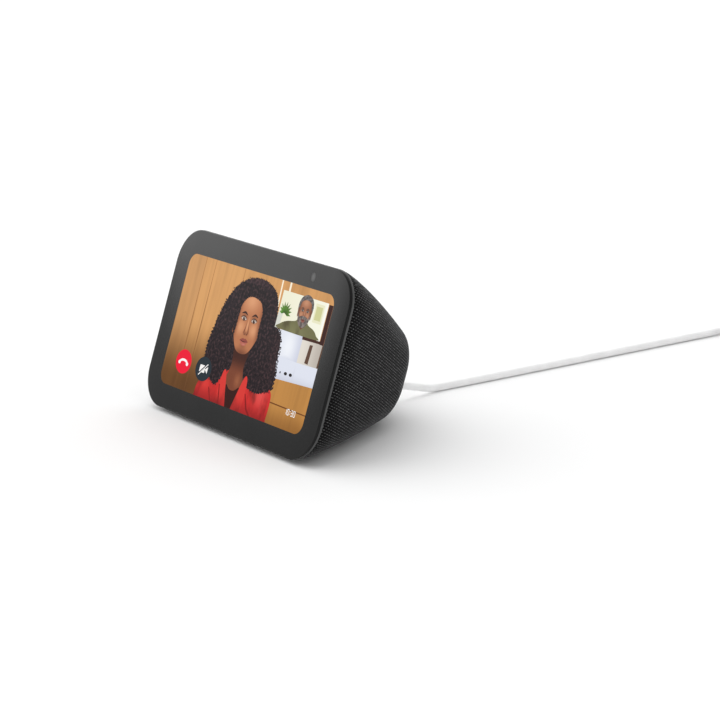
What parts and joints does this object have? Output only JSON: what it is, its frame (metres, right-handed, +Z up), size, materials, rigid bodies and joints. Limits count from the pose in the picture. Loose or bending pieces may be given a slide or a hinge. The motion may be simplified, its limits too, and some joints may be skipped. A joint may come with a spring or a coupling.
{
  "type": "smart speaker",
  "caption": "Tabletop smart speaker with a tilted touch screen, camera shutter, top buttons, a fabric-covered tapered body and a power cord with a wall adapter.",
  "frame": {"origin": "on the table, under the middle of the speaker's own box, its cord and adapter left out", "axes": "+X to the right as seen from the front, +Y to the back where the cord leaves, +Z up"},
  "size_m": [0.147, 0.4016, 0.082],
  "materials": {
    "glass": "polished, black print behind its border",
    "charcoal_plastic": "fine moulded texture",
    "knit_fabric": "fine charcoal knit",
    "black_plastic": "moulded",
    "rubber": "matt",
    "display": "lit picture",
    "light_guide": "clear acrylic",
    "steel": "bright",
    "nickel": "plated",
    "aluminium": "sheet, as rolled",
    "copper": "thin foil and wire",
    "circuit_board": "green solder mask",
    "chip": "moulded package",
    "magnet": "coated ferrite",
    "cone_paper": "black coated paper",
    "shutter": "light grey moulded blade",
    "white_plastic": "satin white moulding",
    "white_cord": "smooth white jacket"
  },
  "bodies": {
    "speaker_body": {"front_glass": "glass", "front_frame": "charcoal_plastic", "button_strip": "charcoal_plastic", "fabric_sleeve": "knit_fabric", "rear_shell": "black_plastic", "base_plate": "black_plastic", "port_cup": "black_plastic", "dc_jack": "black_plastic", "speaker_enclosure": "black_plastic", "glass_gasket": "rubber", "rubber_foot": "rubber", "mic_left": "rubber", "mic_right": "rubber", "cord_tie": "rubber", "lcd_panel": "display", "light_guide": "light_guide", "mic_camera_off_switch": "steel", "volume_down_switch": "steel", "volume_up_switch": "steel", "chassis_screw_1": "steel", "chassis_screw_2": "steel", "chassis_screw_3": "steel", "chassis_screw_4": "steel", "shield_can": "steel", "speaker_basket": "steel", "plug_barrel": "steel", "base_screw_1": "steel", "base_screw_2": "steel", "base_screw_3": "steel", "base_screw_4": "steel", "stand_magnet_left": "nickel", "stand_magnet_right": "nickel", "prong_left": "nickel", "prong_right": "nickel", "backlight_tray": "aluminium", "chassis_plate": "aluminium", "heat_plate": "aluminium", "antenna_left": "copper", "antenna_right": "copper", "display_flex": "copper", "main_board": "circuit_board", "button_board": "circuit_board", "processor": "chip", "camera_module": "chip", "light_sensor": "chip", "speaker_magnet": "magnet", "plug_body": "white_plastic", "adapter_relief": "white_plastic", "adapter_body": "white_plastic", "adapter_cover": "white_plastic", "cord_run": "white_cord", "cord_coil": "white_cord", "cord_lead": "white_cord"},
    "mic_camera_off_button": {"mic_camera_off_button": "black_plastic"},
    "volume_down_button": {"volume_down_button": "black_plastic"},
    "volume_up_button": {"volume_up_button": "black_plastic"},
    "camera_shutter": {"shutter_blade": "shutter", "shutter_knob": "black_plastic"},
    "speaker_diaphragm": {"speaker_cone": "cone_paper", "voice_coil": "copper"}
  },
  "joints": [
    {"name": "mic_camera_off_press", "type": "slide", "parent": "speaker_body", "child": "mic_camera_off_button", "axis": [0, -0.5432, -0.8396], "range_m": [0, 0.0005], "stiffness_N_per_m": 600, "springref_m": -0.001},
    {"name": "volume_down_press", "type": "slide", "parent": "speaker_body", "child": "volume_down_button", "axis": [0, -0.5432, -0.8396], "range_m": [0, 0.0005], "stiffness_N_per_m": 600, "springref_m": -0.001},
    {"name": "volume_up_press", "type": "slide", "parent": "speaker_body", "child": "volume_up_button", "axis": [0, -0.5432, -0.8396], "range_m": [0, 0.0005], "stiffness_N_per_m": 600, "springref_m": -0.001},
    {"name": "camera_shutter_slide", "type": "slide", "parent": "speaker_body", "child": "camera_shutter", "axis": [1, 0, 0], "range_m": [0, 0.0082]},
    {"name": "diaphragm_travel", "type": "slide", "parent": "speaker_body", "child": "speaker_diaphragm", "axis": [0, 0.9532, -0.3024], "range_m": [-0.001, 0.001], "stiffness_N_per_m": 1500}
  ]
}
